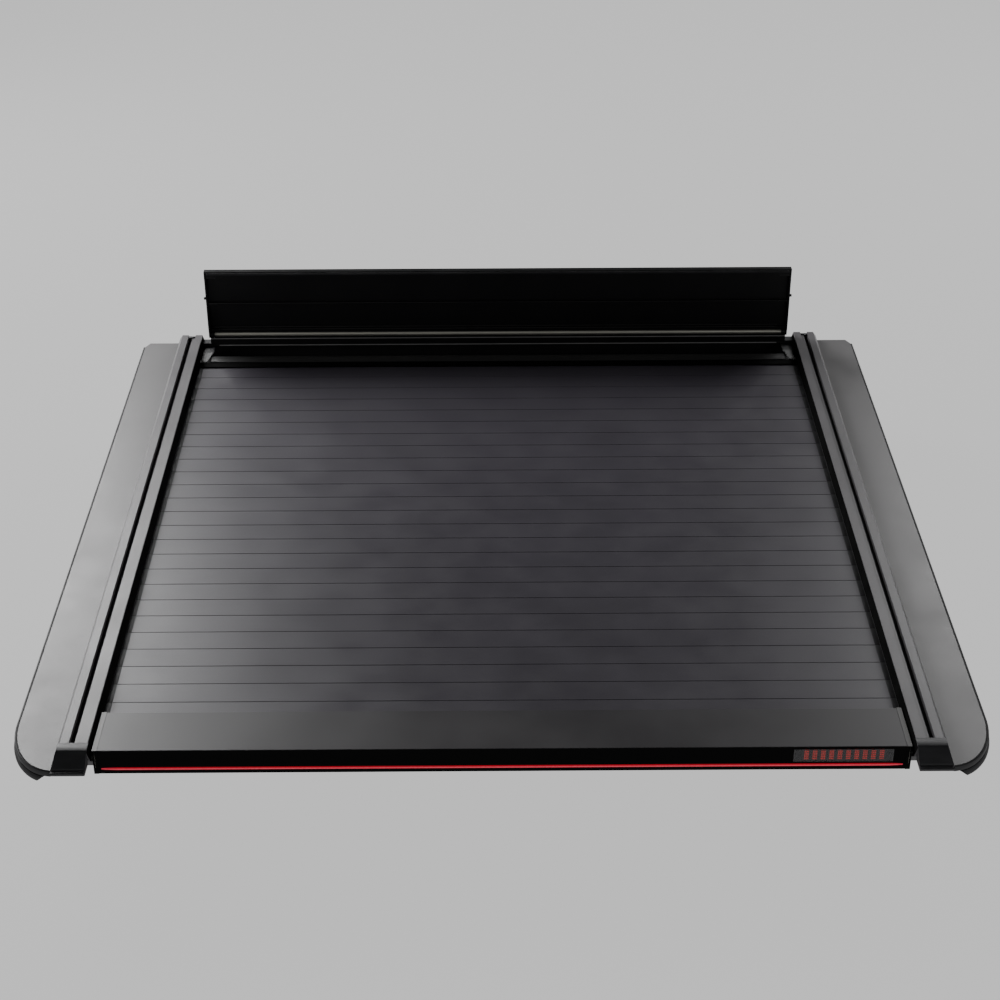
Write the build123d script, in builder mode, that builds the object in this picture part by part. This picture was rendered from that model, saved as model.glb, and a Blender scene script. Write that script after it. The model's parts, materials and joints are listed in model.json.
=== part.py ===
from build123d import *
import os
from math import atan2, cos, degrees, radians, sin

# Retractable aluminium tonneau cover for a pickup bed. Millimetres.
# +X is the driver's right seen from the tailgate, +Y is towards the cab and +Z is up.
# The origin is the middle of the plane in which the two side covers rest on the bed rails.

os.makedirs("parts", exist_ok=True)

# ---- Driving dimensions ----
# Side rails, given for the right-hand side
RAIL_BACK = 775
RAIL_FRONT = -742
RIB_TOP = 24
RIB_IN = 670
LIP_IN = 663.6
RIB_STEP = 685
SHELF_TOP = 19
SLOT_IN = 692.5
SLOT_OUT = 700.5
SLOT_WIDE_IN = 688
SLOT_WIDE_OUT = 705
SLOT_FLOOR = 6
SLOT_ROOF = 14
RIB_OUT = 723
CHANNEL_WALL = 690
RAIL_WEB_OUT = 694
CHANNEL_IN = 665
CHANNEL_ROOF = 2.5
CHANNEL_FLOOR = -12.5
FLOOR_T = 4.5
CHANNEL_BACK = 600
CHANNEL_FRONT = -722
FOOT_IN = 655
FOOT_BOTTOM = -46
FOOT_T = 4
FOOT_FRONT = -690
FOOT_BACK = 530
CLAMP_X = 672
CLAMP_Y = 450
CLAMP_HOLE_R = 4.25
LINER_T = 1.2
RAIL_SKIN = 2.5

# Side covers and their edge seals
COVER_T = 4
COVER_OUT = 798.5
CORNER_X = 720
CORNER_Y = -640
CORNER_RX = COVER_OUT - CORNER_X
CORNER_RY = 126
TONGUE_IN = 709
TONGUE_LOW = 1.6
TONGUE_HIGH = 3.0
TONGUE_GAP = 0.1
COVER_START = 272.5
BACK_CUT = 18
COVER_NOSE = CORNER_Y - CORNER_RY
SEAL_H = 22
SEAL_BAND_H = 9
SEAL_GROOVE = 1.5
SEAL_T = 9
SEAL_START = 284

# Moulded end caps of the rails
CAP_IN = 668
CAP_OUT = 724
CAP_TOP = RIB_TOP + 1.5
CAP_STRIP_BACK = -721
CAP_FACE_LOW = -765
CAP_NOSE = -773
CAP_LOW = -2.5
CAP_FLARE = 7

# Curtain of slats
PITCH = 51.7
SLATS = 25
SLAT_FRONT = -632.7
SLAT_TOP = 1
SLAT_T = 12
SLAT_X = 664
SLAT_GAP = 0.15
SLAT_EDGE = 0.7
SLAT_WALL = 1.6
KNUCKLE_IN = 4.0
KNUCKLE_R = 2.2
KNUCKLE_SEAT_R = 2.5
KNUCKLE_NECK = 1.6
RUNNER_OUT = 688.4
RUNNER_HALF = 10
RUNNER_EXTRA = 0.1

# Leading bar at the tailgate end of the curtain
BAR_FRONT = -729
BAR_BACK = -626
BAR_TOP = 14
BAR_LOW = -11
BAR_SKIRT_LOW = -32
BAR_SKIRT_BACK = -708
BAR_X = 655
BAR_END_X = 663
BAR_WALL = 3
STRIP_LOW = -25.5
STRIP_HIGH = -19.5
STRIP_DEEP = 2.5
LENS_X0 = 472
LENS_X1 = 634
LENS_LOW = -16
LENS_HIGH = 9
LENS_DEEP = 4.5
LENS_T = 2
SEGMENTS = 10

# Canister, its winding tracks and its drive
COIL_Y = 690
COIL_Z = -82
COIL_R = 71
TAIL_SLATS = 4
TAIL_START = 12
TAIL_STEP = 2 * degrees(atan2(PITCH / 2, COIL_R))
TAIL_TAPER = 2.5
JOINT_GAP = 0.05
CAN_WALL = 2.5
CAN_FRONT = 604
CAN_BACK = 776
CAN_FLOOR = -167
NOSE_FRONT = 545
NOSE_FLOOR = -66
CAN_TOP = -18
CAN_X = 689.8
CAN_NOTCH_IN = 659
TRACK_T = 1.8
TRACK_RINGS = 4
TRACK_PITCH = 15.7
TRACK_OUT = 80.1
TRACK_IN_X = 668
TRACK_BASE_X = 688.8
DRIVE_Y = 575
TYRE_R = 24
DRIVE_Z = SLAT_TOP - SLAT_T - TYRE_R - 0.1
DRIVE_TUBE_R = 20
DRIVE_BORE_R = 17.5
DRIVE_X = 640
TYRES = 6
TYRE_W = 36
MOTOR_R = 17
MOTOR_LENGTH = 480
FLANGE = 34
RUN_CLEAR = 0.05
SPIGOT_X = 600
SPIGOT_R = 6
SPIGOT_NECK_R = 7
SPIGOT_OUT = 16
SPIGOT_WALL = 1.8
SCREW_HEAD_R = 4.5
SCREW_HEAD_H = 3
SCREW_FRONT = NOSE_FRONT + 8
SCREW_BACK = CAN_BACK - 8
WIPER_FRONT = 655
WIPER_BACK = 677
WIPER_LOW = 1.5
WIPER_TOP = 4

# Lid over the canister, standing open, and the hinge that it hooks on to
HINGE_Y = 760
HINGE_Z = 33.5
ROD_R = 5
ROD_X = 639.5
HOOK_R = 8.5
HOOK_FROM = -78
HOOK_TO = 112
NECK_FRONT = 758.4
NECK_BACK = 760.6
HINGE_RAIL_X = 649
HINGE_RAIL_TOP = 24
HINGE_RAIL_LOW = -2
HINGE_RAIL_FRONT = 757
END_BLOCK_TOP = 13
LEDGE_FRONT = 754
LEDGE_TOP = 9
LEDGE_LOW = 5
LID_X = 648
LID_CAP_X = 651.5
LID_BOSS_X = 640
LID_TOP = 190.5
LID_FACE = 760
LID_SKIN = 3
LID_LIP_LOW = 176
LID_LIP_FRONT = 750
LID_RIB_Z = 112.2
LID_RIB_T = 2.4
LID_RIB_FRONT = 753
LID_FOOT_Z = 51.7
LID_FOOT_FRONT = 757
SHOULDER_TOP = 47
SHOULDER_FRONT = 756.4
TAB_T = 2.2
LID_TAB = 20
PEG_Z = 124
PEG_R = 3
PEG_OUT = 656

SLAT_MID = SLAT_TOP - SLAT_T / 2
SLAT_LOW = SLAT_TOP - SLAT_T


def across(y):
    """Plane whose sketches hold X and Z, and whose extrusions go towards the tailgate."""
    return Plane.XZ.offset(-y)


def along(x):
    """Plane whose sketches hold Y and Z, and whose extrusions go towards +X."""
    return Plane.YZ.offset(x)


def coil_point(radius, angle):
    """Point of the coil at an angle from straight up, turning towards the cab."""
    turn = radians(angle)
    return (COIL_Y + radius * sin(turn), COIL_Z + radius * cos(turn))


def hinge_point(radius, angle):
    """Point around the hinge rod at an angle from the cab side, turning upwards."""
    turn = radians(angle)
    return (HINGE_Y + radius * cos(turn), HINGE_Z + radius * sin(turn))


def write(piece, name):
    piece.part.label = name
    export_step(piece.part, "parts/" + name + ".step")


def mirrored(piece):
    with BuildPart() as other:
        mirror(piece.part, about=Plane.YZ)
    return other


# ---- Side rails ----
with BuildPart() as rail_right:
    with BuildSketch(across(RAIL_BACK)) as rail_section:
        with BuildLine():
            Polyline(
                (LIP_IN, CHANNEL_ROOF),
                (RIB_IN, RIB_TOP),
                (RIB_STEP, RIB_TOP),
                (RIB_STEP, SHELF_TOP),
                (SLOT_IN, SHELF_TOP),
                (SLOT_IN, SLOT_ROOF),
                (SLOT_WIDE_IN, SLOT_ROOF),
                (SLOT_WIDE_IN, SLOT_FLOOR),
                (SLOT_WIDE_OUT, SLOT_FLOOR),
                (SLOT_WIDE_OUT, SLOT_ROOF),
                (SLOT_OUT, SLOT_ROOF),
                (SLOT_OUT, RIB_TOP),
                (SLOT_OUT + 14, RIB_TOP),
                (RIB_OUT - 2, SLOT_ROOF + 1),
                (RIB_OUT, SLOT_FLOOR),
                (RIB_OUT, TONGUE_HIGH + TONGUE_GAP),
                (TONGUE_IN - TONGUE_GAP, TONGUE_HIGH + TONGUE_GAP),
                (TONGUE_IN - TONGUE_GAP, TONGUE_LOW - TONGUE_GAP),
                (RIB_OUT, TONGUE_LOW - TONGUE_GAP),
                (RIB_OUT, 0),
                (RAIL_WEB_OUT, 0),
                (RAIL_WEB_OUT, FOOT_BOTTOM),
                (FOOT_IN, FOOT_BOTTOM),
                (FOOT_IN, FOOT_BOTTOM + FOOT_T),
                (CHANNEL_WALL, FOOT_BOTTOM + FOOT_T),
                (CHANNEL_WALL, CHANNEL_FLOOR - FLOOR_T),
                (CHANNEL_IN, CHANNEL_FLOOR - FLOOR_T),
                (CHANNEL_IN, CHANNEL_FLOOR),
                (CHANNEL_WALL, CHANNEL_FLOOR),
                (CHANNEL_WALL, CHANNEL_ROOF),
                close=True,
            )
        make_face()
        crests = rail_section.vertices().filter_by(lambda v: v.Z > RIB_TOP - 0.1)
        fillet(crests, radius=1.2)
        outer_flank = rail_section.vertices().filter_by(lambda v: v.X > RIB_OUT - 3 and v.Z > SLOT_ROOF)
        fillet(outer_flank, radius=4)
        with BuildLine():
            Polyline(
                (LIP_IN + 1.4 * RAIL_SKIN, SLOT_FLOOR),
                (RIB_IN + RAIL_SKIN, RIB_TOP - RAIL_SKIN),
                (RIB_STEP - RAIL_SKIN, RIB_TOP - RAIL_SKIN),
                (RIB_STEP - RAIL_SKIN, SHELF_TOP - RAIL_SKIN),
                (RIB_STEP, SHELF_TOP - RAIL_SKIN),
                (RIB_STEP, SLOT_FLOOR),
                close=True,
            )
        make_face(mode=Mode.SUBTRACT)
        with BuildLine():
            Polyline(
                (SLOT_WIDE_OUT + RAIL_SKIN, SLOT_FLOOR),
                (SLOT_WIDE_OUT + RAIL_SKIN, RIB_TOP - RAIL_SKIN),
                (SLOT_WIDE_OUT + 2 * RAIL_SKIN, RIB_TOP - RAIL_SKIN),
                (RIB_OUT - 2 * RAIL_SKIN, SLOT_ROOF + 1),
                (RIB_OUT - RAIL_SKIN, SLOT_FLOOR),
                close=True,
            )
        make_face(mode=Mode.SUBTRACT)
    extrude(amount=RAIL_BACK - RAIL_FRONT)
    # The clamp foot stops short of both ends
    for start, stop in ((FOOT_FRONT, RAIL_FRONT - 1), (RAIL_BACK + 1, FOOT_BACK)):
        with BuildSketch(across(start)):
            with Locations((RAIL_WEB_OUT, CHANNEL_FLOOR - FLOOR_T)):
                Rectangle(60, 60, align=(Align.MAX, Align.MAX))
        extrude(amount=start - stop, mode=Mode.SUBTRACT)
    # The channel floor stops where the curtain turns down into the canister
    with BuildSketch(across(RAIL_BACK + 1)):
        with Locations((CHANNEL_WALL, CHANNEL_FLOOR)):
            Rectangle(60, 2 * FLOOR_T, align=(Align.MAX, Align.CENTER))
    extrude(amount=RAIL_BACK + 1 - CHANNEL_BACK, mode=Mode.SUBTRACT)
    # The channel's floor also starts behind the rail's front end
    with BuildSketch(across(CHANNEL_FRONT)):
        with Locations((CHANNEL_WALL, CHANNEL_FLOOR)):
            Rectangle(60, 2 * FLOOR_T, align=(Align.MAX, Align.CENTER))
    extrude(amount=CHANNEL_FRONT + 1 - RAIL_FRONT, mode=Mode.SUBTRACT)
    # Holes for the clamp bolts
    for clamp_y in (CLAMP_Y, -CLAMP_Y):
        with Locations((CLAMP_X, clamp_y, FOOT_BOTTOM + FOOT_T / 2)):
            Cylinder(CLAMP_HOLE_R, 2 * FOOT_T, mode=Mode.SUBTRACT)

write(rail_right, "rail_right")
write(mirrored(rail_right), "rail_left")

# ---- Low-friction liners of the rail channels ----
with BuildPart() as liners:
    with BuildSketch(across(CHANNEL_BACK)):
        with BuildLine():
            Polyline(
                (LIP_IN, CHANNEL_ROOF),
                (CHANNEL_WALL, CHANNEL_ROOF),
                (CHANNEL_WALL, CHANNEL_FLOOR),
                (CHANNEL_IN, CHANNEL_FLOOR),
                (CHANNEL_IN, CHANNEL_FLOOR + LINER_T),
                (CHANNEL_WALL - LINER_T, CHANNEL_FLOOR + LINER_T),
                (CHANNEL_WALL - LINER_T, CHANNEL_ROOF - LINER_T),
                (LIP_IN, CHANNEL_ROOF - LINER_T),
                close=True,
            )
        make_face()
    extrude(amount=CHANNEL_BACK - CHANNEL_FRONT)
    mirror(about=Plane.YZ)

write(liners, "channel_liners")


# ---- Side covers ----
def cover_outline():
    """Closed outline of a side cover, from its inner edge to its rounded corner."""
    with BuildLine() as outline:
        corner = EllipticalCenterArc(
            (CORNER_X, CORNER_Y),
            x_radius=CORNER_RX,
            y_radius=CORNER_RY,
            start_angle=COVER_START,
            arc_size=360 - COVER_START,
        )
        side = Line(corner @ 1, (COVER_OUT, RAIL_BACK - BACK_CUT))
        cut = Line(side @ 1, (COVER_OUT - BACK_CUT / 2, RAIL_BACK))
        back = Line(cut @ 1, (RIB_OUT, RAIL_BACK))
        inner = Line(back @ 1, (RIB_OUT, COVER_NOSE))
        Line(inner @ 1, corner @ 0)
    return outline


with BuildPart() as cover_right:
    with BuildSketch(Plane.XY):
        with BuildLine():
            add(cover_outline())
        make_face()
    extrude(amount=COVER_T)
    rim = cover_right.edges().group_by(Axis.Z)[-1].filter_by(lambda e: e.center().X > RIB_OUT + 1)
    chamfer(rim.filter_by(lambda e: e.center().X > CORNER_X + 30), length=0.8)
    # Tongue that slides into the rail's side groove
    with BuildSketch(across(RAIL_BACK)):
        with Locations((TONGUE_IN, TONGUE_LOW)):
            Rectangle(RIB_OUT - TONGUE_IN, TONGUE_HIGH - TONGUE_LOW, align=(Align.MIN, Align.MIN))
    extrude(amount=RAIL_BACK - RAIL_FRONT)

write(cover_right, "side_cover_right")
write(mirrored(cover_right), "side_cover_left")


# ---- Rubber edge seals under the side covers ----
def seal_band(side_grow, nose_grow, top, height):
    """One band of the edge seal, grown from the cover's outer edge by two amounts."""
    with BuildSketch(Plane.XY.offset(top)) as band:
        with BuildLine():
            outer = EllipticalCenterArc(
                (CORNER_X, CORNER_Y),
                CORNER_RX + side_grow,
                CORNER_RY + nose_grow,
                start_angle=SEAL_START,
                arc_size=360 - SEAL_START,
            )
            inner = EllipticalCenterArc(
                (CORNER_X, CORNER_Y),
                CORNER_RX - SEAL_T,
                CORNER_RY - SEAL_T,
                start_angle=SEAL_START,
                arc_size=360 - SEAL_START,
            )
            far_out = Line(outer @ 1, (COVER_OUT + side_grow, RAIL_BACK - BACK_CUT))
            far_in = Line(inner @ 1, (COVER_OUT - SEAL_T, RAIL_BACK - BACK_CUT))
            Line(far_out @ 1, far_in @ 1)
            Line(inner @ 0, outer @ 0)
        make_face()
    extrude(band.sketch, amount=-height)


with BuildPart() as seal_right:
    seal_band(4.5, 0, 0, SEAL_BAND_H)
    seal_band(2.5, -2, -SEAL_BAND_H, SEAL_GROOVE)
    seal_band(7.5, 3, -SEAL_BAND_H - SEAL_GROOVE, SEAL_H - SEAL_BAND_H - SEAL_GROOVE)

write(seal_right, "edge_seal_right")
write(mirrored(seal_right), "edge_seal_left")

# ---- End caps of the rails ----
with BuildPart() as cap_right:
    with BuildSketch(along(CAP_IN)):
        with BuildLine():
            Polyline(
                (RAIL_FRONT, RIB_TOP + 0.05),
                (CAP_STRIP_BACK, RIB_TOP + 0.05),
                (CAP_STRIP_BACK, CAP_TOP),
                (RAIL_FRONT, CAP_TOP),
                (CAP_FACE_LOW, COVER_T + 2),
                (CAP_NOSE, COVER_T - 2),
                (CAP_NOSE, CAP_LOW),
                (RAIL_FRONT, CAP_LOW),
                close=True,
            )
        make_face()
    extrude(amount=CAP_OUT - CAP_IN)
    # The outer side leans outwards from top to bottom
    with BuildSketch(across(CAP_STRIP_BACK + 1)):
        with BuildLine():
            Polyline(
                (CAP_OUT - CAP_FLARE, CAP_TOP + 1),
                (CAP_OUT + 1, CAP_TOP + 1),
                (CAP_OUT + 1, COVER_T),
                (CAP_OUT, COVER_T),
                close=True,
            )
        make_face()
    extrude(amount=CAP_STRIP_BACK + 2 - CAP_NOSE, mode=Mode.SUBTRACT)
    # Clear of the side cover, which reaches in front of the rail
    with BuildSketch(Plane.XY.offset(-4)):
        with Locations((RIB_OUT - 0.1, CAP_STRIP_BACK)):
            Rectangle(20, CAP_STRIP_BACK - COVER_NOSE + 0.1, align=(Align.MIN, Align.MAX))
    extrude(amount=COVER_T + 4.05, mode=Mode.SUBTRACT)
    brow = cap_right.edges().filter_by(Axis.X).filter_by(lambda e: e.center().Z > CAP_TOP - 0.1)
    fillet(brow.sort_by(Axis.Y)[0], radius=1.5)
    # Spigots that plug into the rail's two chambers
    for spigot_x, spigot_w in ((RIB_IN + 6, 8), (SLOT_WIDE_OUT + 5.6, 4)):
        with BuildSketch(across(RAIL_FRONT + 14)):
            with Locations((spigot_x, SLOT_FLOOR + 5)):
                Rectangle(spigot_w, 7)
        extrude(amount=15)

write(cap_right, "rail_end_cap_right")
write(mirrored(cap_right), "rail_end_cap_left")


# ---- Curtain slats ----
def knuckle(joint):
    """Hinge bead on a neck, reaching from a joint into the next slat."""
    with Locations((joint + KNUCKLE_IN / 2 - 1, SLAT_MID)):
        Rectangle(KNUCKLE_IN + 1, KNUCKLE_NECK)
    with Locations((joint + KNUCKLE_IN, SLAT_MID)):
        Circle(KNUCKLE_R)


def slat_section(front):
    """Hollow slat with a knuckle seat at its front edge and a knuckle at its back edge."""
    back = front + PITCH
    with BuildLine() as outline:
        Polyline(
            (front + SLAT_GAP, SLAT_LOW + SLAT_EDGE),
            (front + SLAT_GAP, SLAT_TOP - SLAT_EDGE),
            (front + SLAT_GAP + SLAT_EDGE, SLAT_TOP),
            (back - SLAT_GAP - SLAT_EDGE, SLAT_TOP),
            (back - SLAT_GAP, SLAT_TOP - SLAT_EDGE),
            (back - SLAT_GAP, SLAT_LOW + SLAT_EDGE),
            (back - SLAT_GAP - SLAT_EDGE, SLAT_LOW),
            (front + SLAT_GAP + SLAT_EDGE, SLAT_LOW),
            close=True,
        )
    make_face(outline.edges())
    with Locations((front + KNUCKLE_IN, SLAT_MID)):
        Circle(KNUCKLE_SEAT_R, mode=Mode.SUBTRACT)
    with Locations((front + KNUCKLE_IN / 2, SLAT_MID)):
        Rectangle(KNUCKLE_IN, 3.0, mode=Mode.SUBTRACT)
    for chamber in (front + 9, front + 30):
        with Locations((chamber, SLAT_MID)):
            Rectangle(19, SLAT_T - 2 * SLAT_WALL, align=(Align.MIN, Align.CENTER), mode=Mode.SUBTRACT)
    knuckle(back)


for number in range(1, SLATS + 1):
    with BuildPart() as slat:
        with BuildSketch(along(-SLAT_X)):
            slat_section(SLAT_FRONT + (number - 1) * PITCH)
        extrude(amount=2 * SLAT_X)
    write(slat, "slat_%02d" % number)

# Plastic runners in the slat ends, which slide in the channel liners
with BuildPart() as runners:
    for number in range(SLATS):
        middle = SLAT_FRONT + (number + 0.5) * PITCH
        for start in (SLAT_X, -RUNNER_OUT):
            with BuildSketch(along(start)):
                with Locations((middle, SLAT_MID)):
                    RectangleRounded(2 * RUNNER_HALF, SLAT_T + 2 * RUNNER_EXTRA, 2)
            extrude(amount=RUNNER_OUT - SLAT_X)

write(runners, "slat_runners")

# Last slats of the curtain, round the coil, with their runners
with BuildPart() as tail:
    for number in range(TAIL_SLATS):
        turn = TAIL_START + number * TAIL_STEP
        y, z = coil_point(COIL_R, turn)
        slope = (0, cos(radians(turn)), -sin(radians(turn)))
        tilted = Plane(origin=(-SLAT_X, y, z), x_dir=slope, z_dir=(1, 0, 0))
        with BuildSketch(tilted):
            with BuildLine():
                Polyline(
                    (-PITCH / 2 + SLAT_GAP, SLAT_T / 2),
                    (PITCH / 2 - SLAT_GAP, SLAT_T / 2),
                    (PITCH / 2 - SLAT_GAP, 0),
                    (PITCH / 2 - TAIL_TAPER, -SLAT_T / 2),
                    (TAIL_TAPER - PITCH / 2, -SLAT_T / 2),
                    (-PITCH / 2 + SLAT_GAP, 0),
                    close=True,
                )
            make_face()
            for chamber in (-1, 1):
                with Locations((chamber * 11, 0)):
                    Rectangle(18, SLAT_T - 2 * SLAT_WALL, mode=Mode.SUBTRACT)
        extrude(amount=2 * SLAT_X)
        for start in (SLAT_X - RUNNER_OUT, 2 * SLAT_X + JOINT_GAP):
            with BuildSketch(tilted.offset(start)):
                RectangleRounded(2 * RUNNER_HALF, SLAT_T, 2)
            extrude(amount=RUNNER_OUT - SLAT_X - JOINT_GAP)

write(tail, "tail_slats")

# ---- Leading bar ----
with BuildPart() as bar:
    with BuildSketch(along(-BAR_X)):
        with BuildLine():
            Polyline(
                (BAR_FRONT, BAR_TOP),
                (BAR_BACK, BAR_TOP),
                (BAR_BACK, BAR_TOP - 3),
                (SLAT_FRONT - SLAT_GAP, BAR_TOP - 8),
                (SLAT_FRONT - SLAT_GAP, BAR_LOW),
                (BAR_SKIRT_BACK, BAR_LOW),
                (BAR_SKIRT_BACK, BAR_SKIRT_LOW),
                (BAR_FRONT, BAR_SKIRT_LOW),
                close=True,
            )
        make_face()
        # Three chambers: two side by side under the top and one in the skirt
        for start, low, width, height in (
            (8, BAR_LOW + BAR_WALL, 34, BAR_TOP - BAR_LOW - 2 * BAR_WALL),
            (45, BAR_LOW + BAR_WALL, 46, BAR_TOP - BAR_LOW - 3 * BAR_WALL),
            (8, BAR_SKIRT_LOW + BAR_WALL, 10, BAR_LOW - BAR_SKIRT_LOW - BAR_WALL),
        ):
            with Locations((BAR_FRONT + start, low)):
                Rectangle(width, height, align=(Align.MIN, Align.MIN), mode=Mode.SUBTRACT)
        # The first slat hooks on to this one
        knuckle(SLAT_FRONT)
    extrude(amount=2 * BAR_X)
    # Groove for the light strip
    with BuildSketch(across(BAR_FRONT + STRIP_DEEP)):
        with Locations((0, (STRIP_LOW + STRIP_HIGH) / 2)):
            Rectangle(2 * BAR_X - 8, STRIP_HIGH - STRIP_LOW)
    extrude(amount=STRIP_DEEP + 1, mode=Mode.SUBTRACT)
    # Recess for the brake light
    with BuildSketch(across(BAR_FRONT + LENS_DEEP)):
        with Locations(((LENS_X0 + LENS_X1) / 2, (LENS_LOW + LENS_HIGH) / 2)):
            Rectangle(LENS_X1 - LENS_X0, LENS_HIGH - LENS_LOW)
    extrude(amount=LENS_DEEP + 1, mode=Mode.SUBTRACT)
    crest = bar.edges().filter_by(Axis.X).filter_by(lambda e: e.center().Z > BAR_TOP - 0.1)
    fillet(crest, radius=1.2)

write(bar, "leading_bar")

with BuildPart() as bar_ends:
    for start in (BAR_X, -BAR_END_X):
        with BuildSketch(along(start)):
            with BuildLine():
                Polyline(
                    (BAR_FRONT - 0.8, BAR_TOP + 0.6),
                    (BAR_BACK + 0.8, BAR_TOP + 0.6),
                    (BAR_BACK + 0.8, BAR_TOP - 4),
                    (SLAT_FRONT - SLAT_GAP, BAR_TOP - 9),
                    (SLAT_FRONT - SLAT_GAP, BAR_LOW),
                    (BAR_SKIRT_BACK, BAR_LOW),
                    (BAR_SKIRT_BACK, BAR_SKIRT_LOW),
                    (BAR_FRONT - 0.8, BAR_SKIRT_LOW),
                    close=True,
                )
            make_face()
        extrude(amount=BAR_END_X - BAR_X)
    top_edges = bar_ends.edges().filter_by(lambda e: e.center().Z > BAR_TOP + 0.5)
    chamfer(top_edges.filter_by(Axis.X), length=0.5)

write(bar_ends, "bar_end_plates")

# Runner blocks on the bar's ends, which slide in the channel liners
with BuildPart() as bar_runners:
    for side in (1, -1):
        with BuildSketch(across(SLAT_FRONT - 8)):
            with BuildLine():
                Polyline(
                    (side * BAR_END_X, SLAT_LOW - RUNNER_EXTRA),
                    (side * RUNNER_OUT, SLAT_LOW - RUNNER_EXTRA),
                    (side * RUNNER_OUT, SLAT_TOP + RUNNER_EXTRA),
                    (side * BAR_END_X, SLAT_TOP + RUNNER_EXTRA),
                    close=True,
                )
            make_face()
        extrude(amount=SLAT_FRONT - 8 - CHANNEL_FRONT - 4)

write(bar_runners, "bar_runners")

with BuildPart() as strip:
    with BuildSketch(across(BAR_FRONT + STRIP_DEEP)):
        with Locations((0, (STRIP_LOW + STRIP_HIGH) / 2)):
            Rectangle(2 * BAR_X - 8, STRIP_HIGH - STRIP_LOW)
    extrude(amount=STRIP_DEEP + 0.6)
    strip_rim = strip.faces().sort_by(Axis.Y)[0].edges().filter_by(Axis.X)
    chamfer(strip_rim, length=0.5)

write(strip, "light_strip")

with BuildPart() as lens:
    with BuildSketch(across(BAR_FRONT + LENS_T)):
        with Locations(((LENS_X0 + LENS_X1) / 2, (LENS_LOW + LENS_HIGH) / 2)):
            Rectangle(LENS_X1 - LENS_X0, LENS_HIGH - LENS_LOW)
    extrude(amount=LENS_T + 0.4)
    chamfer(lens.faces().sort_by(Axis.Y)[0].edges(), length=0.3)

write(lens, "brake_light_lens")

# Rows of light segments behind the lens
segment_pitch = (LENS_X1 - LENS_X0) / SEGMENTS
with BuildPart() as segments:
    with BuildSketch(across(BAR_FRONT + LENS_DEEP)):
        for number in range(SEGMENTS):
            with Locations((LENS_X0 + (number + 0.5) * segment_pitch, (LENS_LOW + LENS_HIGH) / 2)):
                SlotOverall(segment_pitch - 4.5, 3.4)
    extrude(amount=LENS_DEEP - LENS_T - 0.5)

write(segments, "brake_light_segments")

# ---- Canister ----
with BuildPart() as canister:
    with BuildSketch(along(-CAN_X)):
        with BuildLine():
            Polyline(
                (NOSE_FRONT, CAN_TOP),
                (NOSE_FRONT, NOSE_FLOOR),
                (CAN_FRONT, NOSE_FLOOR),
                (CAN_FRONT, CAN_FLOOR),
                (CAN_BACK, CAN_FLOOR),
                (CAN_BACK, HINGE_RAIL_LOW),
                (CAN_BACK - CAN_WALL, HINGE_RAIL_LOW),
                (CAN_BACK - CAN_WALL, CAN_FLOOR + CAN_WALL),
                (CAN_FRONT + CAN_WALL, CAN_FLOOR + CAN_WALL),
                (CAN_FRONT + CAN_WALL, NOSE_FLOOR + CAN_WALL),
                (NOSE_FRONT + CAN_WALL, NOSE_FLOOR + CAN_WALL),
                (NOSE_FRONT + CAN_WALL, CAN_TOP),
                close=True,
            )
        make_face()
    extrude(amount=2 * CAN_X)
    with Locations(*[(side * SPIGOT_X, COIL_Y, CAN_FLOOR + CAN_WALL / 2) for side in (1, -1)]):
        Cylinder(SPIGOT_NECK_R + 0.05, 2 * CAN_WALL, mode=Mode.SUBTRACT)
    # The rails' webs pass either side of the back wall's top
    notch = RAIL_WEB_OUT - CAN_NOTCH_IN
    for start in (CAN_NOTCH_IN, -RAIL_WEB_OUT):
        with BuildSketch(along(start)):
            with Locations((CAN_BACK + 1, CHANNEL_FLOOR - FLOOR_T)):
                Rectangle(CAN_WALL + 2, 30, align=(Align.MAX, Align.MIN))
        extrude(amount=notch, mode=Mode.SUBTRACT)

write(canister, "canister_shell")

with BuildPart() as can_end_right:
    with BuildSketch(along(CAN_X)):
        with BuildLine():
            Polyline(
                (NOSE_FRONT, CAN_TOP),
                (NOSE_FRONT, NOSE_FLOOR),
                (CAN_FRONT, NOSE_FLOOR),
                (CAN_FRONT, CAN_FLOOR),
                (CAN_BACK, CAN_FLOOR),
                (CAN_BACK, CAN_TOP),
                close=True,
            )
        make_face()
    extrude(amount=RAIL_WEB_OUT - CAN_X)

write(can_end_right, "canister_end_right")
write(mirrored(can_end_right), "canister_end_left")

# Winding tracks: rings, one inside the other, that hold the wound runners
with BuildPart() as track_right:
    with BuildSketch(along(TRACK_BASE_X)):
        with Locations((COIL_Y, COIL_Z)):
            Circle(TRACK_OUT)
        with Locations((COIL_Y - TRACK_OUT, CAN_TOP)):
            Rectangle(4 * TRACK_OUT, 30, align=(Align.CENTER, Align.MIN), mode=Mode.SUBTRACT)
    extrude(amount=CAN_X - TRACK_BASE_X)
    with BuildSketch(along(TRACK_IN_X)):
        for ring in range(TRACK_RINGS):
            ring_r = TRACK_OUT - ring * TRACK_PITCH
            with Locations((COIL_Y, COIL_Z)):
                Circle(ring_r)
                Circle(ring_r - TRACK_T, mode=Mode.SUBTRACT)
            if ring == 0:
                with Locations((COIL_Y, COIL_Z + TRACK_OUT * cos(radians(38)))):
                    Rectangle(2 * TRACK_OUT, 60, align=(Align.CENTER, Align.MIN), mode=Mode.SUBTRACT)
                with Locations((COIL_Y - TRACK_OUT, COIL_Z)):
                    Rectangle(TRACK_OUT, TRACK_OUT, align=(Align.CENTER, Align.MIN), mode=Mode.SUBTRACT)
    extrude(amount=TRACK_BASE_X - TRACK_IN_X)

write(track_right, "winding_track_right")
write(mirrored(track_right), "winding_track_left")

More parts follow.
